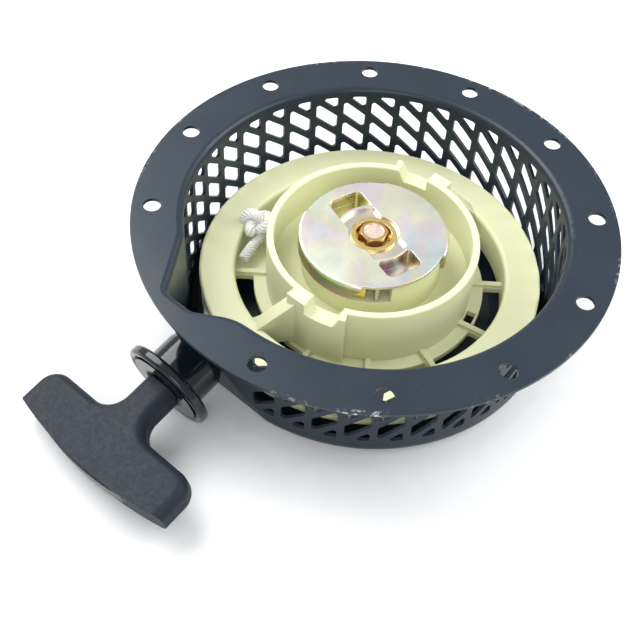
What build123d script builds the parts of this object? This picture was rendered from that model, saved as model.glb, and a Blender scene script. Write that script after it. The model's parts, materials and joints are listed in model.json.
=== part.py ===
from build123d import *
import os
from math import acos, atan2, cos, degrees, hypot, pi, radians, sin, sqrt

# Recoil starter for a small air-cooled engine, in millimetres.
#
# The origin is on the reel's axis, on the mounting face of the flange. +Z points to the engine and
# -Z to the closed end, which the starter lies on. +X is the side where the rope leaves. Seen from
# the engine, the reel turns anticlockwise (about +Z) as the rope is pulled.

# ---- case: one deep-drawn sheet steel pressing
SHEET = 1.6
FLANGE_R = 107.0
WALL_R = 84.3                 # inside of the round wall
CASE_DEPTH = 62.0
RIM_BEND_R = 3.0              # inside bend between wall and flange
END_BEND_R = 6.0              # outside bend between wall and closed end
END_STEP_R = 58.0             # the middle of the closed end is raised off the floor
END_STEP = 1.5
END_BOSS_R = 21.0
END_BOSS = 3.0

BOLT_CIRCLE_R = 98.0
BOLT_HOLE_R = 3.95
BOLT_PITCH = 30.0
BOLT_COUNT = 11               # the twelfth place is taken by the rope pocket
BOLT_FIRST = 15.0

# ---- perforations: slanted bars in upright columns
COLUMNS = 33
COLUMN_PITCH = 360.0 / 38
COLUMN_FIRST = 8.1            # angle of the first column's left edge
COLUMN_W = 11.0
GRID_TOP = -4.6
GRID_BOTTOM = -51.3
BAR_SLOPE = 0.85
BAR_FIRST = -12.2             # top edge of the first bar, at the column's left edge
BAR_PITCH = 12.7
BAR_H = 3.96
BARS = 4
OPENING_FILLET = 1.2

# ---- rope outlet: its axis leans towards the closed end
GUIDE_AZIMUTH = 3.0
GUIDE_TILT = 12.0
MOUTH = Vector(111.3, -14.4, -41.0)
POCKET_FACE = Vector(96.2, -20.0, 0.0)    # a point on the inside of the pocket's flat face
POCKET_SIDES = (              # inside of each slanted side: a point on it, and its outer corner
    (Vector(69.7, 22.6), Vector(101.0, -20.9)),
    (Vector(57.1, -57.1), Vector(101.0, -23.6)),
)
POCKET_JOIN_R = 25.0
POCKET_BEND_R = 4.0           # inside bend round the pocket's flat face
OUTLET_HOLE_R = 9.0
EYELET_BORE_R = 4.0
CUP_R = 14.5
CUP_DISC_R = 21.7
CUP_RIM = 4.6                 # depth of the curled rim
CUP_SHEET = 1.5

# ---- reel
RING_R = 78.9
RING_TOP = -33.7
RING_THICK = 2.4
GROOVE_CORE_R = 66.0
GROOVE_LOW = -47.4
REEL_LOW = -50.0
RING_BORE_R = 62.6
WEB_TOP = -44.4
WINDOW_IN_R = 54.0
SPOKES = 12
SPOKE_FIRST = 13.0
SPOKE_W = 3.6
KNOT_WINDOW = -62.0           # middle of the blind window that holds the rope's knot
CUP_WALL_OUT_R = 48.2
CUP_WALL_IN_R = 44.9
CUP_WALL_TOP = -14.5
CUP_FLOOR = -34.0
FLOOR_THICK = 3.0
HUB_R = 32.2
HUB_IN_R = 28.8
HUB_TOP = -15.0
HUB_FLOOR = -24.0
SLEEVE_R = 14.6
SPRING_WALL_R = 42.0
SPRING_WALL_LOW = -57.3

# ---- bearing and centre stack
JOURNAL_R = 9.0
BUSH_CLEARANCE = 0.04
BUSH_R = 11.0
SPINDLE_TOP = -18.8
SLEEVE_LOW = -38.9
THRUST_WASHER = 1.0
ARBOR_R = 12.5
BOLT_R = 4.0
BOLT_FLATS = 12.0
BOLT_TOP = -12.0

# ---- friction plate
PLATE_R = 32.6
PLATE_TOP = -13.2
PLATE_SHEET = 1.4
CHANNEL_ANGLE = 76.0
CHANNEL_W = 17.4
CHANNEL_HALF = 26.4
CHANNEL_STEP = 1.7
CHANNEL_DEEP = 6.4
CHANNEL_STEP_R = 17.4
PLATE_BORE_R = 9.5
SKIRT_LOW = -21.7
SKIRT_START = -67.0
SKIRT_FULL = 21.0             # the skirt keeps its full depth up to here
SKIRT_END = 34.0

# ---- pawls
PAWL_PIVOT_R = 26.0
PAWL_PIVOT_ANGLE = 3.0
PAWL_NOSE_ANGLE = 38.0
PAWL_OUT_R = 30.4
PAWL_IN_R = 27.5
PAWL_EYE_R = 5.2
PAWL_TOP = -16.1
PAWL_LOW = -23.6
POST_R = 3.0

# ---- rope
ROPE_R = 2.5
ROPE_TURN_GAP = 4.95          # neighbouring turns bed into each other by 0.05
LAYER_GAP = 5.2
INNER_LAYER_R = GROOVE_CORE_R + ROPE_R + 0.2
OUTER_LAYER_R = INNER_LAYER_R + LAYER_GAP
UPPER_TURN = RING_TOP - RING_THICK - ROPE_R - 0.7
LOWER_TURN = UPPER_TURN - ROPE_TURN_GAP
ROPE_ENTRY_ANGLE = KNOT_WINDOW - 8
ROPE_ENTRY_Z = -40.0

# ---- handle, measured along the outlet's axis from the mouth
STEM_START = -0.4
STEM_R = 8.0
BAR_NEAR = 23.1
BAR_FAR = 42.6
BAR_CROWN = 5.0               # the far edge of the bar bulges this much more in the middle
BAR_HALF = 45.2
STEM_BLEND_R = 10.0
BAR_CORNER_R = 9.0
GRIP_THICK = 13.2
GRIP_EDGE_R = 4.6
GRIP_ROLL = 4.3               # the loose handle has turned a little in the outlet
CAP_HALF = 38.0
CAP_H = 8.0
CAP_PROUD = 0.8
CAP_IN = 41.0
KNOT_ROOM_R = 5.2
KNOT_ROOM_START = 30.0

# ---- the rope's last run, along the same axis: where it bends into the outlet, and where it ends
LEAD_CORNER = -25.5
LEAD_END = KNOT_ROOM_START + 0.8
LEAD_BEND_R = 20.0
UPPER_ARC = 320.0             # the outer turns are open near the place where the lead leaves
UPPER_ARC_GAP = 28.0
LOWER_ARC = 290.0


# ------------------------------------------------------------------ helpers
def polar(radius, angle, z=0.0):
    return Vector(radius * cos(radians(angle)), radius * sin(radians(angle)), z)


def ring(r_in, r_out, low, high):
    """A flat ring about the reel's axis."""
    face = Circle(r_out) - Circle(r_in) if r_in > 0 else Circle(r_out)
    return Pos(0, 0, low) * extrude(face, high - low)


def wedge(start, end, reach=200.0):
    """A flat sector from one angle to another, less than half a turn."""
    middle = (start + end) / 2
    corners = [(0, 0)]
    for angle in (start, middle, end):
        corner = polar(reach, angle)
        corners.append((corner.X, corner.Y))
    return Polygon(*corners, align=None)


def sector(r_in, r_out, start, end, low, high):
    """The part of a ring between two angles."""
    face = (Circle(r_out) - Circle(r_in)) & wedge(start, end)
    return Pos(0, 0, low) * extrude(face, high - low)


def turned(shape, angle):
    return Rot(0, 0, angle) * shape


def lathe(points):
    """A closed profile of (radius, height) points, turned about Z."""
    return revolve(Plane.XZ * Polygon(*points, align=None), Axis.Z)


def torus(major, minor, z):
    return revolve(Plane.XZ * Pos(major, z) * Circle(minor), Axis.Z)


GUIDE_AXIS = Vector(
    cos(radians(GUIDE_TILT)) * cos(radians(GUIDE_AZIMUTH)),
    cos(radians(GUIDE_TILT)) * sin(radians(GUIDE_AZIMUTH)),
    -sin(radians(GUIDE_TILT)),
)
# local x lies level across the outlet, local y points up, local z runs out along the rope
GUIDE = Plane(origin=MOUTH, x_dir=polar(1, GUIDE_AZIMUTH + 90), z_dir=GUIDE_AXIS)
GRIP = GUIDE * Rot(0, 0, GRIP_ROLL)
SEAT = (POCKET_FACE - MOUTH).dot(GUIDE_AXIS) + SHEET      # outside of the pocket's face


# ------------------------------------------------------------------ case
def pocket_side(start, corner, grow):
    """One slanted side of the pocket and the arc that joins it to the round wall.

    Gives the side's outward normal and distance, and the arc's wall end, middle and side end.
    """
    along = (corner - start).normalized()
    away = Vector(along.Y, -along.X)
    if away.dot(start) < 0:
        away = -away
    level = away.dot(start)
    reach = sqrt((WALL_R + POCKET_JOIN_R) ** 2 - (level + POCKET_JOIN_R) ** 2)
    centre = away * (level + POCKET_JOIN_R) + along * reach
    radius = POCKET_JOIN_R - grow
    to_wall = -centre.normalized()
    to_middle = (to_wall - away).normalized()
    arc = [centre + direction * radius for direction in (to_wall, to_middle, -away)]
    return away, level + grow, arc


def pocket_outline(grow):
    """The wall's outline seen along the axis: a circle with a wedge-shaped pocket on the +X side."""
    (away_a, level_a, arc_a), (away_b, level_b, arc_b) = [
        pocket_side(start, corner, grow) for start, corner in POCKET_SIDES
    ]
    spread = away_a.X * away_b.Y - away_a.Y * away_b.X
    tip = Vector(
        (level_a * away_b.Y - level_b * away_a.Y) / spread,
        (level_b * away_a.X - level_a * away_b.X) / spread,
    )
    round_wall = ThreePointArc(arc_a[0], (-WALL_R - grow, 0), arc_b[0])
    join_b = ThreePointArc(*arc_b)
    join_a = ThreePointArc(*reversed(arc_a))
    return make_face([round_wall, join_b, Line(arc_b[2], tip), Line(tip, arc_a[2]), join_a])


def tub(grow, depth):
    """The solid inside the sheet (grow 0), or inside and sheet together (grow SHEET)."""
    body = extrude(pocket_outline(grow), -depth)
    body = fillet(body.edges().group_by(Axis.Z)[0], END_BEND_R - SHEET + grow)
    face = Plane(origin=POCKET_FACE + GUIDE_AXIS * grow, z_dir=GUIDE_AXIS)
    body -= face * Pos(0, 0, 20) * Box(300, 300, 40)
    rim = [
        e for e in body.edges()
        if max(abs((e.position_at(t) - face.origin).dot(GUIDE_AXIS)) for t in (0.1, 0.5)) < 0.05
        and e.center().Z < -0.5
    ]
    body = fillet(rim, POCKET_BEND_R + grow)
    step = SHEET - grow
    body -= ring(0, END_STEP_R + step, -depth, -depth + END_STEP)
    body -= ring(0, END_BOSS_R + step, -depth, -depth + END_STEP + END_BOSS)
    return body


def grid_openings():
    """Outlines of one column's openings: x along the wall from the left edge, y up."""
    outlines = []
    rise = BAR_SLOPE * COLUMN_W
    tip = (GRID_TOP - BAR_FIRST) / BAR_SLOPE
    outlines.append([(0, GRID_TOP), (0, BAR_FIRST), (tip, GRID_TOP)])
    for bar in range(BARS - 1):
        high = BAR_FIRST - BAR_H - bar * BAR_PITCH
        low = BAR_FIRST - (bar + 1) * BAR_PITCH
        outlines.append([(0, high), (0, low), (COLUMN_W, low + rise), (COLUMN_W, high + rise)])
    last = BAR_FIRST - BAR_H - (BARS - 1) * BAR_PITCH
    start = (GRID_BOTTOM - last) / BAR_SLOPE
    outlines.append([(start, GRID_BOTTOM), (COLUMN_W, GRID_BOTTOM), (COLUMN_W, last + rise)])
    return outlines


def column_cutters():
    """Punches for one column, standing across the wall at angle 0."""
    plane = Plane(origin=(WALL_R - 4, 0, 0), x_dir=(0, 1, 0), z_dir=(1, 0, 0))
    punches = []
    for outline in grid_openings():
        face = Polygon(*[(x - COLUMN_W / 2, y) for x, y in outline], align=None)
        face = fillet(face.vertices(), OPENING_FILLET)
        punches.append(extrude(plane * face, 10))
    return punches


def starter_case():
    shell = tub(SHEET, CASE_DEPTH) + ring(0, FLANGE_R, -SHEET, 0)
    shell -= tub(0, CASE_DEPTH - SHEET)
    rim = [
        e for e in shell.edges()
        if abs(e.center().Z) < 0.01 and abs(e.tangent_at(0.5).Z) < 0.01
        and hypot(e.position_at(0.5).X, e.position_at(0.5).Y) < BOLT_CIRCLE_R
    ]
    shell = fillet(rim, RIM_BEND_R)
    punches = column_cutters()
    middle = degrees(COLUMN_W / 2 / WALL_R)
    cutters = []
    for column in range(COLUMNS):
        angle = COLUMN_FIRST + middle + column * COLUMN_PITCH
        cutters += [turned(punch, angle) for punch in punches]
    for hole in range(BOLT_COUNT):
        spot = polar(BOLT_CIRCLE_R, BOLT_FIRST + hole * BOLT_PITCH, -SHEET / 2)
        cutters.append(Pos(spot) * Cylinder(BOLT_HOLE_R, 3 * SHEET))
    cutters.append(GUIDE * Pos(0, 0, SEAT) * Cylinder(OUTLET_HOLE_R, 8))
    cutters.append(ring(0, 6.0, -CASE_DEPTH, -CASE_DEPTH + 10))
    return shell - cutters


# ------------------------------------------------------------------ rope outlet
def outlet_cup():
    """A drawn cup on the pocket's face. Its mouth flares into a disc with a thick curled rim."""
    half = CUP_SHEET / 2
    disc = -CUP_RIM / 2
    line = FilletPolyline(
        (OUTLET_HOLE_R, SEAT + half + 0.05),
        (CUP_R - half, SEAT + half + 0.05),
        (CUP_R - half, disc),
        (CUP_DISC_R - 2.0, disc),
        radius=(4.2, 2.6),
    )
    rim = Pos(CUP_DISC_R - 1.7, disc) * RectangleRounded(3.4, CUP_RIM, 1.5)
    return GUIDE * revolve(Plane.XZ * (trace(line, CUP_SHEET) + rim), Axis.Z)


def rope_eyelet():
    """The flared liner that the rope runs through, seated in the outlet cup."""
    back = SEAT - SHEET
    neck = OUTLET_HOLE_R - 0.15
    inside = CUP_R - CUP_SHEET - 0.4
    profile = Polygon(
        (7.4, back - 4.0), (EYELET_BORE_R, back + 1.0), (EYELET_BORE_R, -9.0), (10.6, 0.3),
        (17.4, 0.3), (17.4, -1.1), (inside + 3.8, -1.1), (inside + 1.1, -2.2), (inside, -4.9),
        (inside, SEAT + 6.5),
        (neck, SEAT + 2.6), (neck, back - 0.1), (11.6, back - 0.1), (11.6, back - 2.0), (9.6, back - 4.0),
        align=None,
    )
    throat = [v for v in profile.vertices() if abs(v.X - EYELET_BORE_R) < 0.01]
    profile = fillet(throat, 3.5)
    return GUIDE * revolve(Plane.XZ * profile, Axis.Z)


# ------------------------------------------------------------------ reel
def reel_windows():
    band = Circle(RING_BORE_R) - Circle(WINDOW_IN_R)
    for spoke in range(SPOKES):
        bar = Pos((RING_BORE_R + WINDOW_IN_R) / 2, 0) * Rectangle(20, SPOKE_W)
        band -= turned(bar, SPOKE_FIRST + spoke * 360 / SPOKES)
    band = fillet(band.vertices(), 1.4)
    blind = polar((RING_BORE_R + WINDOW_IN_R) / 2, KNOT_WINDOW)
    return [f for f in band.faces() if (f.center() - blind).length > 8]


def drive_boss():
    """A thickened stretch of the cup wall with a notch in its rim, and the rib that braces it."""
    wall_middle = (CUP_WALL_IN_R + CUP_WALL_OUT_R) / 2
    boss = sector(wall_middle, 52.3, -2, 30, WEB_TOP - 1, CUP_WALL_TOP - 0.3)
    foot = polar(RING_BORE_R + 1.5, -8.5)
    head = polar(49.0, 1.5)
    run = foot - head
    side = Plane(origin=head, x_dir=run, z_dir=run.cross(Vector(0, 0, 1)))
    rise = 1 if side.y_dir.Z > 0 else -1
    outline = [
        (0, rise * (CUP_WALL_TOP - 2.5)), (run.length, rise * (RING_TOP - 0.2)),
        (run.length, rise * (WEB_TOP - 1)), (0, rise * (WEB_TOP - 1)),
    ]
    rib = extrude(side * Polygon(*outline, align=None), 3.5, both=True)
    return boss + rib


def boss_notch():
    floor = CUP_WALL_TOP - 6.5
    notch = sector(CUP_WALL_IN_R - 2, 54, 9, 24, floor, CUP_WALL_TOP + 1)
    slant = Plane(origin=polar(50, 24), x_dir=polar(1, 114), z_dir=polar(1, 24))
    above = CUP_WALL_TOP + 1
    outline = [(-2, floor), (0, floor), (3.0, CUP_WALL_TOP), (3.0, above), (-2, above)]
    return notch + extrude(slant * Polygon(*outline, align=None), 6, both=True)


def section(r_in, r_out, low, high):
    """One rectangle of a turned profile: x is the radius, y the height."""
    return Pos((r_in + r_out) / 2, (low + high) / 2) * Rectangle(r_out - r_in, high - low)


def reel_body():
    """Everything on the reel that is round: hub, cup, web, rope groove and spring wall."""
    underside = CUP_FLOOR - FLOOR_THICK
    web_low = WEB_TOP - FLOOR_THICK
    profile = section(RING_BORE_R, RING_R, RING_TOP - RING_THICK, RING_TOP)
    profile += [
        section(RING_BORE_R, GROOVE_CORE_R, REEL_LOW, RING_TOP - 1),
        section(RING_BORE_R, RING_R - 0.4, REEL_LOW, GROOVE_LOW),
        section(SPRING_WALL_R, GROOVE_CORE_R, web_low, WEB_TOP),
        section(SPRING_WALL_R, SPRING_WALL_R + 3.2, SPRING_WALL_LOW, CUP_FLOOR),
        section(CUP_WALL_IN_R, CUP_WALL_OUT_R, web_low, CUP_WALL_TOP),
        section(HUB_IN_R, CUP_WALL_OUT_R, underside, CUP_FLOOR),
        section(HUB_IN_R, HUB_R, underside, HUB_TOP),
        section(BUSH_R, HUB_R, HUB_FLOOR - FLOOR_THICK, HUB_FLOOR),
        section(BUSH_R, SLEEVE_R, SLEEVE_LOW, HUB_FLOOR),
    ]
    for radius, height, round_r in (
        (RING_R, RING_TOP, 1.1), (RING_BORE_R, RING_TOP, 2.0),
        (CUP_WALL_IN_R, CUP_WALL_TOP, 1.0), (CUP_WALL_OUT_R, CUP_WALL_TOP, 1.0),
    ):
        corner = [v for v in profile.vertices() if abs(v.X - radius) + abs(v.Y - height) < 0.01]
        profile = fillet(corner, round_r)
    body = revolve(Plane.XZ * profile, Axis.Z)
    gap = sector(HUB_IN_R - 2, HUB_R + 2, -9, 58, HUB_FLOOR, HUB_TOP + 1)
    return body - [gap, turned(gap, 180)]


def reel():
    underside = CUP_FLOOR - FLOOR_THICK
    solids = []
    raised = Pos((RING_BORE_R + CUP_WALL_OUT_R) / 2, 0, WEB_TOP)
    raised *= Box(RING_BORE_R - CUP_WALL_OUT_R + 1, SPOKE_W - 1, 3.0)
    hub_rib = Pos((SLEEVE_R + HUB_IN_R) / 2, 0, (underside + HUB_FLOOR) / 2)
    hub_rib *= Box(HUB_IN_R - SLEEVE_R + 1, 2.4, HUB_FLOOR - underside - 1)
    for spoke in range(SPOKES):
        angle = SPOKE_FIRST + spoke * 360 / SPOKES
        solids.append(turned(raised, angle))
        if spoke % 2 == 0:
            solids.append(turned(hub_rib, angle))
    post = Pos(polar(PAWL_PIVOT_R, PAWL_PIVOT_ANGLE, HUB_FLOOR - 1))
    post *= extrude(Circle(POST_R), PAWL_TOP - HUB_FLOOR + 1.2)
    pin_hole = Pos(polar(30.2, 47, HUB_FLOOR)) * Cylinder(1.2, 4 * FLOOR_THICK)
    slot = Pos(polar(50.8, 109, WEB_TOP)) * Rot(0, 0, 109) * Box(4.2, 7.6, 3 * FLOOR_THICK)
    holes = []
    for half in (0, 180):
        solids += [turned(drive_boss(), half), turned(post, half)]
        holes += [turned(boss_notch(), half), turned(pin_hole, half), turned(slot, half)]
    for window in reel_windows():
        holes.append(Pos(0, 0, WEB_TOP - FLOOR_THICK - 1) * extrude(window, FLOOR_THICK + 2))
    rope_hole = Rot(0, 0, ROPE_ENTRY_ANGLE) * Pos(GROOVE_CORE_R - 2, 0, ROPE_ENTRY_Z)
    rope_hole *= Rot(0, 90, 0) * Cylinder(ROPE_R + 0.5, 12)
    holes.append(rope_hole)
    return reel_body() + solids - holes


def reel_bush():
    """Flanged bronze bush in the reel, running on the spindle."""
    bore = JOURNAL_R + BUSH_CLEARANCE
    return ring(bore, BUSH_R, SLEEVE_LOW, HUB_FLOOR) + ring(bore, BUSH_R + 2, HUB_FLOOR, HUB_FLOOR + 1)


def mainspring():
    """Strip steel wound between the spindle's arbor and the reel's spring wall."""
    strip = 0.6
    first = ARBOR_R + 2.5
    pitch = 2.1
    half_turns = 24
    low, high = -54.6, -40.6
    spiral = None
    for half in range(half_turns):
        upper = half % 2 == 0
        centre = pitch / 4 * (1 if upper else -1)
        radius = first + half * pitch / 2
        band = Circle(radius + strip / 2) - Circle(radius - strip / 2)
        cover = Pos(0, 100 if upper else -100) * Rectangle(400, 200)
        arc = Pos(centre, 0) * (band & cover)
        spiral = arc if spiral is None else spiral + arc
    return Pos(0, 0, low) * extrude(spiral, high - low)


# ------------------------------------------------------------------ spindle and centre stack
def spindle():
    """Turned steel: the rivet, the mainspring's arbor and the reel's journal, drilled for the bolt."""
    floor_top = -CASE_DEPTH + END_STEP + END_BOSS + SHEET
    arbor_top = SLEEVE_LOW - THRUST_WASHER
    rivet_low = floor_top - SHEET - 1.8
    body = ring(0, ARBOR_R, floor_top, arbor_top)
    body += ring(0, JOURNAL_R, arbor_top, SPINDLE_TOP)
    body += ring(0, 6.0, rivet_low, floor_top)
    body += ring(0, 8.6, rivet_low, floor_top - SHEET)
    body -= ring(0, BOLT_R, SPINDLE_TOP - 27, SPINDLE_TOP)
    hook_slot = Pos(ARBOR_R, 0, (arbor_top + floor_top) / 2) * Box(6, 1.6, arbor_top - floor_top + 2)
    return body - hook_slot


def thrust_washer():
    return ring(JOURNAL_R + 0.2, SLEEVE_R, SLEEVE_LOW - THRUST_WASHER, SLEEVE_LOW - 0.02)


def centre_bolt():
    seat = SPINDLE_TOP + 1.2
    head = extrude(RegularPolygon(BOLT_FLATS / 2, 6, major_radius=False), BOLT_TOP - seat)
    head = Pos(0, 0, seat) * turned(head, 20)
    crown = lathe([
        (0, seat), (6.1, seat), (6.9, seat + 0.6), (6.9, BOLT_TOP - 0.9), (5.9, BOLT_TOP), (0, BOLT_TOP),
    ])
    dish = Pos(0, 0, BOLT_TOP) * Cylinder(4.4, 1.0)
    shank = ring(0, BOLT_R - 0.05, SPINDLE_TOP - 25, seat)
    return (head & crown) - dish + shank


def cup_washer():
    """Dished washer: its rim holds the friction plate down, its base is clamped on the spindle."""
    base = SPINDLE_TOP
    rim = PLATE_TOP - CHANNEL_STEP + 0.05
    return lathe([
        (BOLT_R + 0.2, base), (7.4, base), (8.9, rim), (10.4, rim), (10.4, rim + 0.9), (8.2, rim + 0.9),
        (6.9, base + 1.2), (BOLT_R + 0.2, base + 1.2),
    ])


# ------------------------------------------------------------------ friction plate
def pressed(face, depth, sheet):
    """What a pressing adds below the sheet, and what it takes away above."""
    return extrude(offset(face, sheet), -depth - sheet), extrude(face, -depth)


def plate_skirt():
    """Bent-down skirt on one half of the rim. Its trailing end is cut away on a slant."""
    outside = PLATE_R + PLATE_SHEET
    skirt = sector(PLATE_R - 0.2, outside, SKIRT_START, SKIRT_END, SKIRT_LOW, PLATE_TOP)
    top_edges = skirt.edges().group_by(Axis.Z)[-1].sort_by(SortBy.LENGTH)
    skirt = fillet(top_edges[-1], 1.1)
    middle = (SKIRT_FULL + SKIRT_END) / 2
    half = radians(SKIRT_END - SKIRT_FULL) / 2 * (PLATE_R + 1)
    slant = Plane(origin=polar(PLATE_R, middle), x_dir=polar(1, middle + 90), z_dir=polar(1, middle))
    outline = [
        (-half, SKIRT_LOW), (half + 1, PLATE_TOP - 2.0), (half + 4, PLATE_TOP - 2.0),
        (half + 4, SKIRT_LOW - 2), (-half, SKIRT_LOW - 2),
    ]
    return skirt - extrude(slant * Polygon(*outline, align=None), 8, both=True)


def friction_plate():
    disc = ring(0, PLATE_R, PLATE_TOP - PLATE_SHEET, PLATE_TOP)
    channel = RectangleRounded(2 * CHANNEL_HALF, CHANNEL_W, 3.0)
    shallow = channel + Circle(11.4)
    recesses = [(shallow, CHANNEL_STEP)]
    for end in (channel - Circle(CHANNEL_STEP_R)).faces():
        inner = end.vertices().sort_by(Axis.X)
        inner = inner[:2] if end.center().X > 0 else inner[-2:]
        recesses.append((fillet(inner, 1.5), CHANNEL_DEEP))
    for face, depth in recesses:
        boss, cut = pressed(face, depth, PLATE_SHEET)
        place = Pos(0, 0, PLATE_TOP) * Rot(0, 0, CHANNEL_ANGLE)
        disc += place * boss
        disc -= place * cut
    for half in (0, 180):
        disc += turned(plate_skirt(), half)
    disc -= ring(0, PLATE_BORE_R, PLATE_TOP - 10, PLATE_TOP + 1)
    return disc


def friction_spring():
    """Wire coil that presses the friction plate up against the cup washer's rim."""
    wire = 0.6
    low = HUB_FLOOR + wire + 0.1
    high = PLATE_TOP - CHANNEL_STEP - PLATE_SHEET - wire - 0.1
    coil = Helix(pitch=(high - low) / 2.5, height=high - low, radius=15.2)
    start = Plane(origin=coil @ 0, z_dir=coil % 0)
    return Pos(0, 0, low) * sweep(start * Circle(wire), path=coil, is_frenet=True)


# ------------------------------------------------------------------ pawls
def pawl():
    pivot = polar(PAWL_PIVOT_R, PAWL_PIVOT_ANGLE)
    eye_top = PAWL_TOP - 2.5
    eye = Pos(pivot.X, pivot.Y, PAWL_LOW) * extrude(Circle(PAWL_EYE_R), eye_top - PAWL_LOW)
    link = sector(PAWL_IN_R, PAWL_OUT_R, PAWL_PIVOT_ANGLE, 16, PAWL_LOW, eye_top)
    arm = sector(PAWL_IN_R, PAWL_OUT_R, 15, PAWL_NOSE_ANGLE, PAWL_LOW, PAWL_TOP)
    upright = [e for e in arm.edges() if abs(e.tangent_at(0.5).Z) > 0.9]
    nose = sorted(upright, key=lambda e: -atan2(e.center().Y, e.center().X))[:2]
    arm = fillet(nose, 0.8)
    bore = Pos(pivot.X, pivot.Y, PAWL_LOW) * Cylinder(POST_R + 0.05, 40)
    return eye + link + arm - bore


def pawl_spring():
    """Two coils round the pawl's post, one leg pushing the arm out, one against the hub's wall."""
    wire = 0.4
    mean = POST_R + 0.75
    low = PAWL_TOP - 2.5 + wire + 0.15
    body = torus(mean, wire, low) + torus(mean, wire, low + 1.75 * wire)
    arm_leg = Pos(mean - 0.2, 3.0, low + 0.2) * Rot(90, 0, 0) * Cylinder(wire, 6.0)
    wall_leg = Pos(mean - 0.2, -2.4, low + 1.75 * wire + 0.2) * Rot(90, 0, 0) * Cylinder(wire, 5.0)
    return Pos(polar(PAWL_PIVOT_R, PAWL_PIVOT_ANGLE)) * (body + arm_leg + wall_leg)


def stop_pins():
    """Steel pins that end the pawls' swing, pressed into the hub's floor."""
    pin = Pos(polar(30.2, 47, HUB_FLOOR - FLOOR_THICK)) * extrude(Circle(1.2), 11.2)
    pin = fillet(pin.edges().group_by(Axis.Z)[-1], 0.4)
    return [pin, turned(pin, 180)]


# ------------------------------------------------------------------ rope
def lead_start():
    """The lead leaves the reel along a tangent. Returns the angle of the tangent point."""
    corner = guide_point(LEAD_CORNER)
    reach = hypot(corner.X, corner.Y)
    return degrees(atan2(corner.Y, corner.X) - acos(OUTER_LAYER_R / reach))


def guide_point(along):
    return MOUTH + GUIDE_AXIS * along


def rope_winding():
    """Four turns in the groove, two layers of two.

    The outer turns are open where the lead leaves: the lower one ends there, and the upper one
    leaves room above it.
    """
    angle = lead_start()
    inner = torus(INNER_LAYER_R, ROPE_R, UPPER_TURN) + torus(INNER_LAYER_R, ROPE_R, LOWER_TURN)
    section = Pos(OUTER_LAYER_R, UPPER_TURN) * Circle(ROPE_R)
    upper = revolve(Plane.XZ * section, Axis.Z, revolution_arc=UPPER_ARC)
    section = Pos(OUTER_LAYER_R, LOWER_TURN) * Circle(ROPE_R)
    lower = revolve(Plane.XZ * section, Axis.Z, revolution_arc=LOWER_ARC)
    return [inner, turned(upper, angle + UPPER_ARC_GAP) + turned(lower, angle - LOWER_ARC)]


def rope_lead():
    """From the winding through the eyelet to the knot in the handle."""
    angle = lead_start()
    leave = polar(OUTER_LAYER_R, angle, LOWER_TURN) + polar(0.5, angle + 90)
    line = FilletPolyline(leave, guide_point(LEAD_CORNER), guide_point(LEAD_END), radius=LEAD_BEND_R)
    start = Plane(origin=line @ 0, z_dir=line % 0)
    body = sweep(start * Circle(ROPE_R), path=line)
    print(f"rope_lead: {line.length:.1f} mm long, bend radius {LEAD_BEND_R:.0f} mm,"
          f" volume / (section x length) {body.volume / (pi * ROPE_R**2 * line.length):.4f}")
    return body


def rope_knot():
    """The rope's inner end: through the groove's core, an overhand knot, and a short tail."""
    entry = polar(GROOVE_CORE_R, ROPE_ENTRY_ANGLE, ROPE_ENTRY_Z)
    centre = polar(57.2, KNOT_WINDOW - 1.5, -37.9)
    path = [
        entry,
        polar(58.2, ROPE_ENTRY_ANGLE, ROPE_ENTRY_Z),
        polar(59.2, KNOT_WINDOW - 5.0, -35.6),
        polar(57.0, KNOT_WINDOW + 2.5, -34.8),
        polar(55.6, KNOT_WINDOW + 4.0, -40.0),
        polar(58.8, KNOT_WINDOW + 10.0, -41.6),
    ]
    body = Pos(centre) * Rot(0, 0, KNOT_WINDOW - 1.5) * Rot(0, 90, 0) * torus(3.4, ROPE_R - 0.1, 0)
    for near, far in zip(path, path[1:]):
        along = far - near
        body += Plane(origin=near, z_dir=along) * extrude(Circle(ROPE_R), along.length)
        body += Pos(far) * Sphere(ROPE_R)
    return body


# ------------------------------------------------------------------ handle
def grip_outline():
    """The T seen from above: x across, y out along the rope."""
    far_edge = ThreePointArc((BAR_HALF, BAR_FAR), (0, BAR_FAR + BAR_CROWN), (-BAR_HALF, BAR_FAR))
    left, right = -BAR_HALF, BAR_HALF
    sides = Polyline((left, BAR_FAR), (left, BAR_NEAR), (right, BAR_NEAR), (right, BAR_FAR))
    stem = Pos(0, (STEM_START + BAR_NEAR) / 2 + 1) * Rectangle(2 * STEM_R, BAR_NEAR - STEM_START + 2)
    outline = make_face([far_edge, sides]) + stem
    near = [v for v in outline.vertices() if abs(v.Y - BAR_NEAR) < 0.01]
    outline = fillet([v for v in near if abs(v.X) < BAR_HALF - 1], STEM_BLEND_R)
    near = [v for v in outline.vertices() if abs(v.Y - BAR_NEAR) < 0.01]
    return fillet([v for v in near if abs(v.X) > BAR_HALF - 1], BAR_CORNER_R)


def cap_outline(gap):
    """Lens along the far edge: a chord on the inside, the grip's own curve outside, a little proud."""
    far = BAR_FAR + BAR_CROWN + CAP_PROUD
    end = BAR_FAR - 0.2
    lens = make_face([
        ThreePointArc((CAP_HALF, end), (0, far), (-CAP_HALF, end)),
        Polyline((-CAP_HALF, end), (-CAP_HALF, CAP_IN), (CAP_HALF, CAP_IN), (CAP_HALF, end)),
    ])
    return offset(lens, gap, kind=Kind.INTERSECTION) if gap else lens


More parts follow.
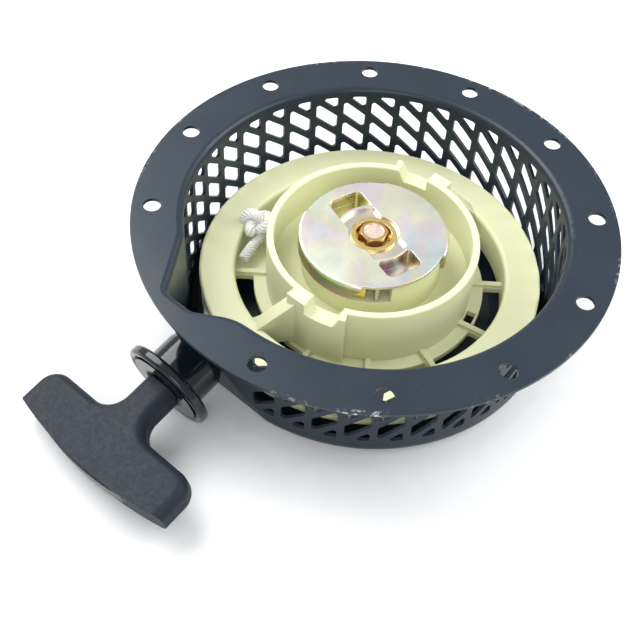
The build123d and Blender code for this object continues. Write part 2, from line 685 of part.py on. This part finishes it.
def handle_grip():
    body = extrude(Plane.XZ * grip_outline(), GRIP_THICK / 2, both=True)
    along_sides = [
        e for e in body.edges()
        if abs(abs(e.position_at(0.5).Y) - GRIP_THICK / 2) < 0.01
        and STEM_START + 0.5 < e.position_at(0.5).Z < BAR_FAR - 0.5
    ]
    body = fillet(along_sides, GRIP_EDGE_R)
    body = chamfer(body.edges().group_by(Axis.Z)[0], 1.0)
    body -= ring(0, ROPE_R + 0.3, STEM_START - 5, KNOT_ROOM_START + 1)
    body -= ring(0, KNOT_ROOM_R, KNOT_ROOM_START, BAR_FAR)
    body -= extrude(Plane.XZ * cap_outline(0.15), CAP_H / 2 + 0.15, both=True)
    return GRIP * body


def handle_cap():
    """Long plug that closes the knot's room in the handle's outer edge."""
    return GRIP * extrude(Plane.XZ * cap_outline(0), CAP_H / 2, both=True)


def knot_washer():
    return GUIDE * ring(ROPE_R + 0.4, KNOT_ROOM_R - 0.3, KNOT_ROOM_START + 0.05, KNOT_ROOM_START + 1.0)


def rope_end_knot():
    centre = KNOT_ROOM_START + 6.0
    body = Pos(0, 0, centre) * Sphere(4.6)
    body += torus(2.7, 2.2, centre - 1.2)
    body -= ring(0, 10, LEAD_END - 3, LEAD_END + 0.3)
    return GUIDE * body


# ------------------------------------------------------------------ write one file for each piece
PIECES = {
    "starter_case": starter_case,
    "outlet_cup": outlet_cup,
    "rope_eyelet": rope_eyelet,
    "spindle": spindle,
    "thrust_washer": thrust_washer,
    "centre_bolt": centre_bolt,
    "cup_washer": cup_washer,
    "reel": reel,
    "reel_bush": reel_bush,
    "mainspring": mainspring,
    "stop_pins": stop_pins,
    "friction_plate": friction_plate,
    "friction_spring": friction_spring,
    "pawl_a": pawl,
    "pawl_b": lambda: turned(pawl(), 180),
    "pawl_spring_a": pawl_spring,
    "pawl_spring_b": lambda: turned(pawl_spring(), 180),
    "rope_winding": rope_winding,
    "rope_knot": rope_knot,
    "rope_lead": rope_lead,
    "handle_grip": handle_grip,
    "handle_cap": handle_cap,
    "knot_washer": knot_washer,
    "rope_end_knot": rope_end_knot,
}

os.makedirs("parts", exist_ok=True)
for name, make in PIECES.items():
    piece = make()
    solids = []
    for shape in piece if isinstance(piece, list) else [piece]:
        solids += shape.solids()
    export_step(Compound(children=solids) if len(solids) > 1 else solids[0], f"parts/{name}.step")
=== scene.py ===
import json
import math

import bpy
from mathutils import Matrix, Vector


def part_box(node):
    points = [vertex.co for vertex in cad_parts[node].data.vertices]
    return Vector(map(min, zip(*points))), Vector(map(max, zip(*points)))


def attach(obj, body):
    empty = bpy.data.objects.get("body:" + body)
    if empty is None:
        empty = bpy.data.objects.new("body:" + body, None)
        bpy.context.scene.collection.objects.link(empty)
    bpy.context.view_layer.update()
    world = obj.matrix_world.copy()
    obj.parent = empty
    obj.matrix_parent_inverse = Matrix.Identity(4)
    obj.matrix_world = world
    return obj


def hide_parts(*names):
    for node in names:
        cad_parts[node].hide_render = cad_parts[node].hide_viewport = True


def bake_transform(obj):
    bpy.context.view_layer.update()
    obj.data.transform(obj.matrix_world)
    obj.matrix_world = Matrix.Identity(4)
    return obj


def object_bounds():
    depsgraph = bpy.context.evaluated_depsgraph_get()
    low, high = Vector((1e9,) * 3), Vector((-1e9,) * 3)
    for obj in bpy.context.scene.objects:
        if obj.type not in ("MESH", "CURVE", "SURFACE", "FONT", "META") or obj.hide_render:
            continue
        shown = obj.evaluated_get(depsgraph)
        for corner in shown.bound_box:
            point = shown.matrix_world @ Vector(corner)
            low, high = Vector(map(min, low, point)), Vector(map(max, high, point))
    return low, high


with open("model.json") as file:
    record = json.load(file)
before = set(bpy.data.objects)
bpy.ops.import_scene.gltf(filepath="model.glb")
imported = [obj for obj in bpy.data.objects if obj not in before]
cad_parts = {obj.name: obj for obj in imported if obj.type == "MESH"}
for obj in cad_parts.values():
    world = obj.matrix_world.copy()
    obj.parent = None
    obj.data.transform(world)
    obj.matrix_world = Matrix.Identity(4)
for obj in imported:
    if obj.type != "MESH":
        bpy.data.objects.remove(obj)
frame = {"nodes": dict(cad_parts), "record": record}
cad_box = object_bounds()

# Everything is in metres in the CAD frame: the origin is on the reel's axis, in the flange's face,
# and +Z points to the engine. The starter lies on its closed end.

# ---- the rope's route, as in the CAD model
MOUTH = Vector((0.1113, -0.0144, -0.0410))    # where the outlet opens, on its axis
GUIDE_AZIMUTH = math.radians(3.0)
GUIDE_TILT = math.radians(12.0)
GUIDE_AXIS = Vector((
    math.cos(GUIDE_TILT) * math.cos(GUIDE_AZIMUTH),
    math.cos(GUIDE_TILT) * math.sin(GUIDE_AZIMUTH),
    -math.sin(GUIDE_TILT),
))
ROPE_R = 0.0025
INNER_LAYER_R = 0.0687
OUTER_LAYER_R = 0.0739
UPPER_TURN = -0.0393          # heights of the two turns in each layer
LOWER_TURN = -0.04425
UPPER_ARC_START = math.radians(28.0)    # the outer turns' ends, from where the lead leaves them
UPPER_ARC_END = math.radians(348.0)
LOWER_ARC = math.radians(290.0)
LEAD_OFFSET = 0.0005          # the lead starts this far past the winding's end
LEAD_BEND_R = 0.020
LEAD_CORNER = -0.0255         # this and the next three are places on the outlet's axis, from MOUTH
STRETCH_START = -0.0085       # the lead's mesh is finely stepped between here and here
STRETCH_END = -0.0015         # and here as the handle is pulled
LEAD_END = 0.0308

# ---- how the rope is laid
ROPE_STRANDS = 6
STRAND_SHARE = 0.37           # a strand's radius as a share of the rope's
ROPE_PITCH = 0.0095           # one full turn of the lay
STRAND_SIDES = 6
CLOSE_STRAND_SIDES = 8        # on the runs that are seen from close by
LEAD_STEP = 0.0011            # lengths of the mesh's steps along each run
STRETCH_STEP = 0.0003
ARC_STEP = 0.0012
RING_STEP = 0.0014

# ---- the knot in the reel's blind window. A place is a radius, degrees round the axis and a height
KNOT_ROPE_R = 0.0028
KNOT_SIZE = 0.0022
KNOT_DEPTH = 0.0026           # how far the loops pass over and under each other
KNOT_OPENING = 0.55           # what each end leaves out of the closed curve, in radians
KNOT_POINTS = 22
KNOT_SMOOTHING = 6
KNOT_FACING = Vector((0.47, 0.42, 0.77))
KNOT_CENTRE = (0.0578, -68.0, -0.0332)
KNOT_ENTRY = ((0.0660, -70.0, -0.0400), (0.0622, -70.0, -0.0398))
KNOT_TAIL = ((0.0570, -57.0, -0.0385), (0.0595, -50.8, -0.0400))

# ---- where the looks change. Each pair is the start and the full effect
NOISE_SPAN = (0.3, 0.7)             # most of the noise lies between these
EDGE_COSINE = (0.97, 0.80)          # of the angle between the true normal and the rounded one
RIM_CHIPS = (0.1054, 0.1068)        # radii just inside the flange's outer edge
PLATE_SIDE = (-0.0142, -0.0158)     # heights down the friction plate's side
BOLT_DISH = (0.0050, 0.0043)        # radii of the dish in the bolt's head
BOLT_FACE = (0.0016, 0.0010)        # depths below the bolt's top

# ---- stage
FLOOR_HALF = 4.0
WORLD_COLOUR = (0.95, 0.97, 1.0, 1.0)
WORLD_STRENGTH = 0.72
LIGHTS = (    # name, place, diameter, watts
    ("key_light", (0.10, -0.85, 0.95), 1.1, 19.0),
    ("fill_light", (-0.80, 0.55, 0.80), 1.0, 12.0),
    ("front_light", (0.75, 0.60, 0.70), 0.7, 4.0),
)
CAMERA_PLACE = (0.25817, 0.20371, 0.32451)
CAMERA_FORWARD = Vector((-0.46980, -0.42314, -0.77476))
CAMERA_RIGHT = Vector((-0.70703, 0.70587, 0.04321))
CAMERA_LENS = 58.81           # mm
CAMERA_SENSOR = 36.0          # mm
CAMERA_CLIP = 0.01


def polar(radius, angle, z):
    return Vector((radius * math.cos(angle), radius * math.sin(angle), z))


def placed(radius, degrees, z):
    return polar(radius, math.radians(degrees), z)


# ------------------------------------------------------------------ node helpers
class Look:
    """A material being built: short names for the nodes that the looks below use."""

    def __init__(self, name):
        self.material = bpy.data.materials.new(name)
        self.material.use_nodes = True
        self.tree = self.material.node_tree
        self.tree.nodes.clear()
        self.output = self.node("ShaderNodeOutputMaterial")
        self.shader = self.node("ShaderNodeBsdfPrincipled")
        self.link(self.shader.outputs[0], self.output.inputs["Surface"])
        self.place = self.node("ShaderNodeTexCoord").outputs["Object"]

    def node(self, kind, **settings):
        made = self.tree.nodes.new(kind)
        for key, value in settings.items():
            setattr(made, key, value)
        return made

    def link(self, source, target):
        self.tree.links.new(source, target)

    def put(self, value, target):
        """A number, a colour or another node's output goes into a socket."""
        if isinstance(value, bpy.types.NodeSocket):
            self.link(value, target)
        elif isinstance(value, tuple):
            target.default_value = (*value, 1.0) if target.type == "RGBA" else value
        else:
            target.default_value = value

    def fixed(self, **values):
        """Sockets of the shader that hold one value all over the surface."""
        for key, value in values.items():
            self.put(value, self.shader.inputs[key.replace("_", " ")])

    def base(self, colour):
        self.put(colour, self.shader.inputs["Base Color"])

    def rough(self, scale, detail, low, high):
        """Roughness that drifts between two values."""
        made = self.node("ShaderNodeMapRange")
        self.put(self.noise(scale, detail), made.inputs["Value"])
        made.inputs["From Min"].default_value = NOISE_SPAN[0]
        made.inputs["From Max"].default_value = NOISE_SPAN[1]
        made.inputs["To Min"].default_value = low
        made.inputs["To Max"].default_value = high
        self.link(made.outputs[0], self.shader.inputs["Roughness"])

    def math(self, operation, a, b=0.0, clamp=False):
        made = self.node("ShaderNodeMath", operation=operation, use_clamp=clamp)
        self.put(a, made.inputs[0])
        self.put(b, made.inputs[1])
        return made.outputs[0]

    def times(self, a, b):
        return self.math("MULTIPLY", a, b)

    def noise(self, scale, detail=4.0, roughness=0.55, stretch=None, distortion=0.0):
        made = self.node("ShaderNodeTexNoise")
        made.inputs["Scale"].default_value = scale
        made.inputs["Detail"].default_value = detail
        made.inputs["Roughness"].default_value = roughness
        made.inputs["Distortion"].default_value = distortion
        source = self.place
        if stretch:
            mapping = self.node("ShaderNodeMapping")
            mapping.inputs["Scale"].default_value = stretch
            self.link(self.place, mapping.inputs["Vector"])
            source = mapping.outputs[0]
        self.link(source, made.inputs["Vector"])
        return made.outputs["Fac"]

    def ramp(self, value, stops):
        """stops: (position, colour or grey) pairs."""
        made = self.node("ShaderNodeValToRGB")
        while len(made.color_ramp.elements) < len(stops):
            made.color_ramp.elements.new(0.5)
        for element, (position, colour) in zip(made.color_ramp.elements, stops):
            element.position = position
            grey = not isinstance(colour, tuple)
            element.color = (colour, colour, colour, 1.0) if grey else (*colour, 1.0)
        self.put(value, made.inputs[0])
        return made.outputs[0]

    def spots(self, scale, detail, roughness=0.55, start=0.5, full=0.6, most=1.0, stretch=None):
        """Patches where the noise is high: 0 below start, most above full."""
        level = self.noise(scale, detail, roughness, stretch)
        return self.ramp(level, [(start, 0.0), (full, most)])

    def mix(self, factor, a, b):
        """Sockets 6 and 7 are the node's two colours, and its output 2 is their mixture."""
        made = self.node("ShaderNodeMix", data_type="RGBA")
        self.put(factor, made.inputs[0])
        self.put(a, made.inputs[6])
        self.put(b, made.inputs[7])
        return made.outputs[2]

    def rise(self, value, start, end):
        """0 below start, 1 above end. The other way round where end is the lower."""
        made = self.node("ShaderNodeMapRange")
        self.put(value, made.inputs["Value"])
        made.inputs["From Min"].default_value = start
        made.inputs["From Max"].default_value = end
        return made.outputs[0]

    def split(self):
        made = self.node("ShaderNodeSeparateXYZ")
        self.link(self.place, made.inputs[0])
        return made.outputs

    def radius(self):
        """Distance from the reel's axis."""
        x, y, _ = self.split()
        square = self.math("ADD", self.math("POWER", x, 2.0), self.math("POWER", y, 2.0))
        return self.math("SQRT", square)

    def height(self):
        return self.split()[2]

    def edges(self, reach):
        """1 on edges, 0 on flats."""
        bevel = self.node("ShaderNodeBevel", samples=4)
        bevel.inputs["Radius"].default_value = reach
        normal = self.node("ShaderNodeNewGeometry").outputs["Normal"]
        dot = self.node("ShaderNodeVectorMath", operation="DOT_PRODUCT")
        self.link(bevel.outputs[0], dot.inputs[0])
        self.link(normal, dot.inputs[1])
        return self.rise(dot.outputs["Value"], *EDGE_COSINE)

    def worn(self, colour, reach, amount, bare):
        """The colour with its edges worn towards another."""
        return self.mix(self.times(self.edges(reach), amount), colour, bare)

    def bump(self, height, strength, distance, soften=0.0):
        """Relief, on edges that are rounded over the distance soften."""
        made = self.node("ShaderNodeBump")
        made.inputs["Strength"].default_value = strength
        made.inputs["Distance"].default_value = distance
        self.put(height, made.inputs["Height"])
        if soften:
            bevel = self.node("ShaderNodeBevel", samples=4)
            bevel.inputs["Radius"].default_value = soften
            self.link(bevel.outputs[0], made.inputs["Normal"])
        self.link(made.outputs[0], self.shader.inputs["Normal"])


# ------------------------------------------------------------------ materials
def black_enamel():
    """Satin blue-black paint on steel, chipped to bare metal along the flange's outer edge."""
    look = Look("black_enamel")
    paint = look.mix(look.noise(14.0, 3.0), (0.009, 0.017, 0.028), (0.014, 0.024, 0.037))
    dust = look.spots(260.0, 6.0, 0.7, start=0.60, full=0.78, most=0.35)
    paint = look.mix(dust, paint, (0.07, 0.08, 0.09))
    rim = look.rise(look.radius(), *RIM_CHIPS)
    chips = look.spots(420.0, 5.0, 0.65, start=0.52, full=0.60)
    where = look.spots(22.0, 2.0, start=0.50, full=0.62)
    scuff = look.spots(180.0, 7.0, 0.75, start=0.68, full=0.73)
    rim_chips = look.times(look.times(rim, chips), where)
    edge_chips = look.times(look.times(look.edges(0.0006), scuff), 0.55)
    bare = look.math("MAXIMUM", rim_chips, edge_chips, clamp=True)
    rust = look.spots(60.0, 4.0, start=0.63, full=0.68)
    metal = look.mix(rust, (0.55, 0.56, 0.57), (0.30, 0.13, 0.05))
    look.base(look.mix(bare, paint, metal))
    look.put(look.times(bare, 0.85), look.shader.inputs["Metallic"])
    look.rough(35.0, 5.0, low=0.30, high=0.44)
    look.fixed(Coat_Weight=0.06, Coat_Roughness=0.10, Specular_IOR_Level=0.32)
    height = look.math("ADD", look.times(look.noise(900.0, 3.0), 0.25), look.noise(160.0, 3.0))
    look.bump(height, strength=0.10, distance=0.00025, soften=0.0004)
    return look.material


def nylon():
    """Natural nylon, pale yellow-green, a little translucent."""
    look = Look("reel_nylon")
    colour = look.mix(look.noise(22.0, 4.0), (0.63, 0.645, 0.385), (0.70, 0.715, 0.46))
    flow = look.spots(60.0, 6.0, 0.6, start=0.35, full=0.75, stretch=(1.0, 1.0, 3.0))
    colour = look.mix(look.times(flow, 0.25), colour, (0.68, 0.69, 0.50))
    grime = look.spots(300.0, 8.0, 0.75, start=0.66, full=0.74, most=0.5)
    colour = look.mix(grime, colour, (0.38, 0.38, 0.24))
    look.base(look.worn(colour, reach=0.0008, amount=0.35, bare=(0.80, 0.81, 0.66)))
    look.rough(70.0, 5.0, low=0.34, high=0.50)
    look.fixed(Subsurface_Weight=0.22, Subsurface_Scale=0.004, Subsurface_Radius=(1.0, 0.95, 0.5))
    look.fixed(Specular_IOR_Level=0.45)
    look.bump(look.noise(420.0, 4.0), strength=0.10, distance=0.0002, soften=0.0006)
    return look.material


def rainbow_zinc():
    """Clear zinc with weak pink, blue and yellow bands, deeper on the plate's side."""
    look = Look("rainbow_zinc")
    film = look.noise(26.0, 3.0, 0.5, distortion=1.6)
    bands = look.ramp(film, [
        (0.28, (0.86, 0.87, 0.74)), (0.38, (0.72, 0.84, 0.82)), (0.46, (0.90, 0.80, 0.80)),
        (0.54, (0.92, 0.89, 0.66)), (0.62, (0.84, 0.90, 0.72)), (0.74, (0.87, 0.86, 0.78)),
    ])
    grain = look.noise(700.0, 4.0, 0.6, stretch=(1.0, 0.08, 1.0))
    colour = look.mix(look.times(grain, 0.25), bands, (0.58, 0.59, 0.60))
    low = look.rise(look.height(), *PLATE_SIDE)
    side = look.ramp(film, [
        (0.32, (0.16, 0.32, 0.10)), (0.44, (0.46, 0.44, 0.12)), (0.54, (0.40, 0.22, 0.34)),
        (0.64, (0.14, 0.34, 0.16)),
    ])
    colour = look.mix(look.times(low, 0.85), colour, side)
    look.base(look.worn(colour, reach=0.0004, amount=0.6, bare=(0.92, 0.92, 0.90)))
    look.fixed(Metallic=1.0)
    look.rough(50.0, 5.0, low=0.24, high=0.36)
    look.bump(grain, strength=0.05, distance=0.0001, soften=0.0004)
    return look.material


def plated(name, dark, light, low, high):
    """A plated or bare metal with cloudy colour, stains and worn edges."""
    look = Look(name)
    colour = look.mix(look.noise(120.0, 4.0), dark, light)
    stain = look.spots(420.0, 6.0, 0.7, start=0.60, full=0.75, most=0.6)
    colour = look.mix(stain, colour, tuple(0.45 * c for c in dark))
    polished = tuple(min(1.0, 1.15 * c) for c in light)
    look.base(look.worn(colour, reach=0.0003, amount=0.5, bare=polished))
    look.fixed(Metallic=1.0)
    look.rough(240.0, 5.0, low, high)
    look.bump(look.noise(500.0, 3.0), strength=0.08, distance=0.0001, soften=0.0003)
    return look.material


def bolt_look():
    """Yellow zinc clouded with brown, pinkish on the dished top."""
    look = Look("bolt_zinc")
    cloud = look.noise(420.0, 5.0)
    side = look.mix(cloud, (0.30, 0.16, 0.05), (0.66, 0.46, 0.18))
    top = look.mix(cloud, (0.86, 0.62, 0.50), (0.95, 0.80, 0.68))
    bolt_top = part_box("centre_bolt")[1].z
    face = look.rise(look.height(), bolt_top - BOLT_FACE[0], bolt_top - BOLT_FACE[1])
    inside = look.rise(look.radius(), *BOLT_DISH)
    colour = look.mix(look.times(face, inside), side, top)
    look.base(look.worn(colour, reach=0.0003, amount=0.6, bare=(0.90, 0.72, 0.46)))
    look.fixed(Metallic=0.9)
    look.rough(700.0, 4.0, low=0.24, high=0.40)
    look.bump(look.noise(900.0, 3.0), strength=0.08, distance=0.0001, soften=0.0003)
    return look.material


def rope_white():
    """White nylon yarn: fine threads, slightly soiled in patches."""
    look = Look("rope_white")
    colour = look.mix(look.noise(150.0, 4.0), (0.76, 0.76, 0.73), (0.88, 0.88, 0.86))
    soil = look.spots(90.0, 5.0, 0.7, start=0.56, full=0.76, most=0.5)
    look.base(look.mix(soil, colour, (0.55, 0.54, 0.50)))
    look.rough(900.0, 3.0, low=0.62, high=0.82)
    look.fixed(Sheen_Weight=0.3, Sheen_Roughness=0.5, Specular_IOR_Level=0.35)
    look.fixed(Subsurface_Weight=0.12, Subsurface_Scale=0.001)
    look.bump(look.noise(2600.0, 4.0, 0.6), strength=0.5, distance=0.0002)
    return look.material


def charcoal_plastic():
    """Moulded grip: a fine spark-eroded texture with pale rubbed patches."""
    look = Look("charcoal_plastic")
    colour = look.mix(look.noise(300.0, 5.0, 0.7), (0.010, 0.014, 0.022), (0.019, 0.025, 0.035))
    drawn_out = (1.0, 0.25, 1.0)
    rubbed = look.spots(420.0, 8.0, 0.78, start=0.54, full=0.68, most=0.30, stretch=drawn_out)
    patches = look.spots(38.0, 3.0, start=0.42, full=0.66)
    colour = look.mix(look.times(rubbed, patches), colour, (0.10, 0.11, 0.125))
    look.base(look.worn(colour, reach=0.0006, amount=0.4, bare=(0.07, 0.08, 0.095)))
    look.rough(520.0, 5.0, low=0.44, high=0.60)
    look.fixed(Specular_IOR_Level=0.20)
    look.bump(look.noise(1500.0, 4.0), strength=0.20, distance=0.00015, soften=0.0004)
    return look.material


def gloss_black(name, shine):
    """Glossy black with a faint haze. shine: the weight of its clear coat."""
    look = Look(name)
    colour = look.mix(look.noise(90.0, 4.0), (0.002, 0.004, 0.007), (0.006, 0.009, 0.013))
    haze = look.spots(300.0, 6.0, 0.7, start=0.62, full=0.78, most=0.3)
    look.base(look.mix(haze, colour, (0.035, 0.04, 0.045)))
    look.rough(45.0, 5.0, low=0.10, high=0.22)
    look.fixed(Coat_Weight=shine, Coat_Roughness=0.05, Specular_IOR_Level=0.2)
    look.bump(look.noise(220.0, 3.0), strength=0.06, distance=0.0002, soften=0.0004)
    return look.material


def floor_look():
    """Pale matt board."""
    look = Look("floor")
    look.base(look.mix(look.noise(3.0, 2.0), (0.80, 0.805, 0.81), (0.83, 0.83, 0.83)))
    look.fixed(Roughness=0.5, Specular_IOR_Level=0.3)
    return look.material


# ------------------------------------------------------------------ laid rope
def new_piece(name, verts, faces, smooth=True):
    mesh = bpy.data.meshes.new(name)
    mesh.from_pydata(verts, [], faces)
    mesh.update()
    for polygon in mesh.polygons:
        polygon.use_smooth = smooth
    made = bpy.data.objects.new(name, mesh)
    bpy.context.scene.collection.objects.link(made)
    return made


def straight(start, end, step, with_end=False):
    count = max(1, round((end - start).length / step))
    points = [start.lerp(end, i / count) for i in range(count)]
    return points + [end] if with_end else points


def rounded_route(start, corner, end, radius, step):
    """Two straight runs joined by a tangent arc, as evenly spaced points."""
    back = (start - corner).normalized()
    on = (end - corner).normalized()
    half = back.angle(on) / 2
    reach = radius / math.tan(half)
    centre = corner + (back + on).normalized() * (radius / math.sin(half))
    first, last = corner + back * reach, corner + on * reach
    turn = math.pi - 2 * half
    points = straight(start, first, step)
    count = max(2, round(radius * turn / step))
    side = (first - centre).normalized()
    ahead = -back
    for i in range(1, count):
        angle = turn * i / count
        points.append(centre + radius * (side * math.cos(angle) + ahead * math.sin(angle)))
    return points + straight(last, end, step, with_end=True)


def smooth_through(points, per_span):
    """A Catmull-Rom curve through the points."""
    ends = [points[0] * 2 - points[1], *points, points[-1] * 2 - points[-2]]
    curve = []
    for a, b, c, d in zip(ends, ends[1:], ends[2:], ends[3:]):
        slope = c - a
        bend = a * 2 - b * 5 + c * 4 - d
        twist = b * 3 - a - c * 3 + d
        for i in range(per_span):
            t = i / per_span
            curve.append(0.5 * (b * 2 + slope * t + bend * t * t + twist * t**3))
    return curve + [points[-1]]


def frames_along(points, closed=False):
    """At each point the arc length and two directions across the rope. Then the whole length."""
    count = len(points)
    tangents = []
    for i in range(count):
        after = points[(i + 1) % count] if closed else points[min(i + 1, count - 1)]
        before = points[i - 1] if closed else points[max(i - 1, 0)]
        tangents.append((after - before).normalized())
    across = Vector((0, 0, 1)) if closed else tangents[0].orthogonal().normalized()
    rows, length = [], 0.0
    for i, tangent in enumerate(tangents):
        across = (across - tangent * across.dot(tangent)).normalized()
        rows.append((length, across.copy(), tangent.cross(across)))
        if closed or i + 1 < count:
            length += (points[(i + 1) % count] - points[i]).length
    return rows, length


def laid_rope(name, points, radius, closed=False, sides=STRAND_SIDES):
    """Strands twisted round the route: a ring of points round each strand at each step."""
    rows, total = frames_along(points, closed)
    turns = max(1, round(total / ROPE_PITCH)) if closed else total / ROPE_PITCH
    strand_r = radius * STRAND_SHARE
    offset = radius - strand_r
    steps = len(points)
    verts, faces = [], []
    for strand in range(ROPE_STRANDS):
        start = len(verts)
        for point, (along, across, up) in zip(points, rows):
            twist = 2 * math.pi * (turns * along / total + strand / ROPE_STRANDS)
            centre = point + offset * (across * math.cos(twist) + up * math.sin(twist))
            for side in range(sides):
                angle = twist + 2 * math.pi * side / sides
                verts.append(centre + strand_r * (across * math.cos(angle) + up * math.sin(angle)))
        for i in range(steps if closed else steps - 1):
            here, there = start + i * sides, start + ((i + 1) % steps) * sides
            for side in range(sides):
                following = (side + 1) % sides
                faces.append((here + side, here + following, there + following, there + side))
        if not closed:
            faces.append(tuple(start + side for side in reversed(range(sides))))
            faces.append(tuple(start + (steps - 1) * sides + side for side in range(sides)))
    return new_piece(name, [tuple(v) for v in verts], faces)


def joined(name, parts):
    """Several meshes as one piece."""
    verts, faces = [], []
    for part in parts:
        start = len(verts)
        verts += [tuple(v.co) for v in part.data.vertices]
        faces += [tuple(start + i for i in p.vertices) for p in part.data.polygons]
        bpy.data.objects.remove(part)
    return new_piece(name, verts, faces)


def arc_points(radius, z, start, end):
    count = max(3, round(radius * abs(end - start) / ARC_STEP))
    return [polar(radius, start + (end - start) * i / count, z) for i in range(count + 1)]


def ring_points(radius, z):
    count = round(2 * math.pi * radius / RING_STEP)
    return [polar(radius, 2 * math.pi * i / count, z) for i in range(count)]


def lead_angle():
    """Where the rope leaves the winding: its tangent goes through the bend's corner."""
    corner = MOUTH + GUIDE_AXIS * LEAD_CORNER
    reach = math.hypot(corner.x, corner.y)
    return math.atan2(corner.y, corner.x) - math.acos(OUTER_LAYER_R / reach)


def knot_points():
    """An overhand knot: in through the groove's core, out as a short tail."""
    centre = placed(*KNOT_CENTRE)
    facing = KNOT_FACING.normalized()
    right = Vector((0, 0, 1)).cross(facing).normalized()
    up = facing.cross(right)
    points = [placed(*spot) for spot in KNOT_ENTRY]
    first, last = 3 * math.pi - KNOT_OPENING, math.pi + KNOT_OPENING
    for i in range(KNOT_POINTS + 1):
        t = first + (last - first) * i / KNOT_POINTS
        wide = (math.sin(t) + 2 * math.sin(2 * t)) * KNOT_SIZE
        tall = (math.cos(t) - 2 * math.cos(2 * t)) * KNOT_SIZE
        deep = math.sin(3 * t) * KNOT_DEPTH
        points.append(centre + right * wide + up * tall + facing * deep)
    return points + [placed(*spot) for spot in KNOT_TAIL]


def make_rope(material):
    angle = lead_angle()
    start = polar(OUTER_LAYER_R, angle, LOWER_TURN) + polar(LEAD_OFFSET, angle + math.pi / 2, 0)
    throat, leaves = MOUTH + GUIDE_AXIS * STRETCH_START, MOUTH + GUIDE_AXIS * STRETCH_END
    route = rounded_route(start, MOUTH + GUIDE_AXIS * LEAD_CORNER, throat, LEAD_BEND_R, LEAD_STEP)
    route += straight(throat, leaves, STRETCH_STEP)[1:]
    route += straight(leaves, MOUTH + GUIDE_AXIS * LEAD_END, LEAD_STEP, with_end=True)
    lead = laid_rope("rope_lead_laid", route, ROPE_R, sides=CLOSE_STRAND_SIDES)
    upper_start, upper_end = angle + UPPER_ARC_START, angle + UPPER_ARC_END
    upper_arc = arc_points(OUTER_LAYER_R, UPPER_TURN, upper_start, upper_end)
    lower_arc = arc_points(OUTER_LAYER_R, LOWER_TURN, angle - LOWER_ARC, angle)
    winding = joined("rope_winding_laid", [
        laid_rope("upper_inner", ring_points(INNER_LAYER_R, UPPER_TURN), ROPE_R, closed=True),
        laid_rope("lower_inner", ring_points(INNER_LAYER_R, LOWER_TURN), ROPE_R, closed=True),
        laid_rope("upper_outer", upper_arc, ROPE_R),
        laid_rope("lower_outer", lower_arc, ROPE_R),
    ])
    knot_route = smooth_through(knot_points(), KNOT_SMOOTHING)
    knot = laid_rope("rope_knot_laid", knot_route, KNOT_ROPE_R, sides=CLOSE_STRAND_SIDES)
    for piece, node in ((lead, "rope_lead"), (winding, "rope_winding"), (knot, "rope_knot")):
        piece.data.materials.append(material)
        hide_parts(node)
    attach(winding, "reel")
    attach(knot, "reel")
    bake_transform(lead)


# ------------------------------------------------------------------ finish of each CAD node
def paint(node, material):
    materials = frame["nodes"][node].data.materials
    materials.clear()
    materials.append(material)


def paint_nodes():
    """Each node gets its slot's material, apart from three with a look of their own."""
    finishes = {
        "turned_steel": plated("bright_steel", (0.50, 0.50, 0.51), (0.66, 0.66, 0.67), 0.22, 0.38),
        "case_paint": black_enamel(),
        "eyelet_plastic": gloss_black("eyelet_gloss", shine=0.10),
        "yellow_zinc": plated("yellow_zinc", (0.74, 0.50, 0.13), (0.90, 0.74, 0.34), 0.16, 0.30),
        "clear_zinc": rainbow_zinc(),
        "spring_steel": plated("spring_steel", (0.22, 0.22, 0.24), (0.36, 0.36, 0.38), 0.28, 0.42),
        "reel_nylon": nylon(),
        "bronze": plated("bronze", (0.52, 0.36, 0.16), (0.70, 0.52, 0.26), 0.30, 0.45),
        "rope_fibre": rope_white(),
        "grip_plastic": charcoal_plastic(),
    }
    for entry in frame["record"]["subparts"]:
        paint(entry["node"], finishes[entry["material_slot"]])
    paint("outlet_cup", gloss_black("cup_gloss", shine=0.45))
    paint("handle_cap", gloss_black("cap_gloss", shine=0.05))
    paint("centre_bolt", bolt_look())
    return finishes


# ------------------------------------------------------------------ stage
def make_stage():
    low = cad_box[0][2]
    corners = [
        (-FLOOR_HALF, -FLOOR_HALF, low),
        (FLOOR_HALF, -FLOOR_HALF, low),
        (FLOOR_HALF, FLOOR_HALF, low),
        (-FLOOR_HALF, FLOOR_HALF, low),
    ]
    floor = new_piece("floor", corners, [(0, 1, 2, 3)], smooth=False)
    floor.data.materials.append(floor_look())
    world = bpy.data.worlds.new("studio")
    bpy.context.scene.world = world
    world.use_nodes = True
    background = world.node_tree.nodes["Background"]
    background.inputs["Color"].default_value = WORLD_COLOUR
    background.inputs["Strength"].default_value = WORLD_STRENGTH
    for name, place, size, power in LIGHTS:
        lamp = bpy.data.lights.new(name, "AREA")
        lamp.shape = "DISK"
        lamp.size = size
        lamp.energy = power
        made = bpy.data.objects.new(name, lamp)
        made.location = place
        made.rotation_euler = (-Vector(place)).to_track_quat("-Z", "Y").to_euler()
        bpy.context.scene.collection.objects.link(made)


def make_camera():
    """The photo's viewpoint: from above, on the side where the handle lies."""
    lens = bpy.data.cameras.new("camera")
    lens.lens = CAMERA_LENS
    lens.sensor_width = CAMERA_SENSOR
    lens.clip_start = CAMERA_CLIP
    camera = bpy.data.objects.new("camera", lens)
    forward = CAMERA_FORWARD.normalized()
    right = (CAMERA_RIGHT - forward * CAMERA_RIGHT.dot(forward)).normalized()
    up = right.cross(forward)
    turn = Matrix((right, up, -forward)).transposed()
    camera.matrix_world = Matrix.Translation(CAMERA_PLACE) @ turn.to_4x4()
    bpy.context.scene.collection.objects.link(camera)
    bpy.context.scene.camera = camera


make_camera()
make_stage()
looks = paint_nodes()
make_rope(looks["rope_fibre"])

bpy.context.scene.view_settings.view_transform = "Standard"
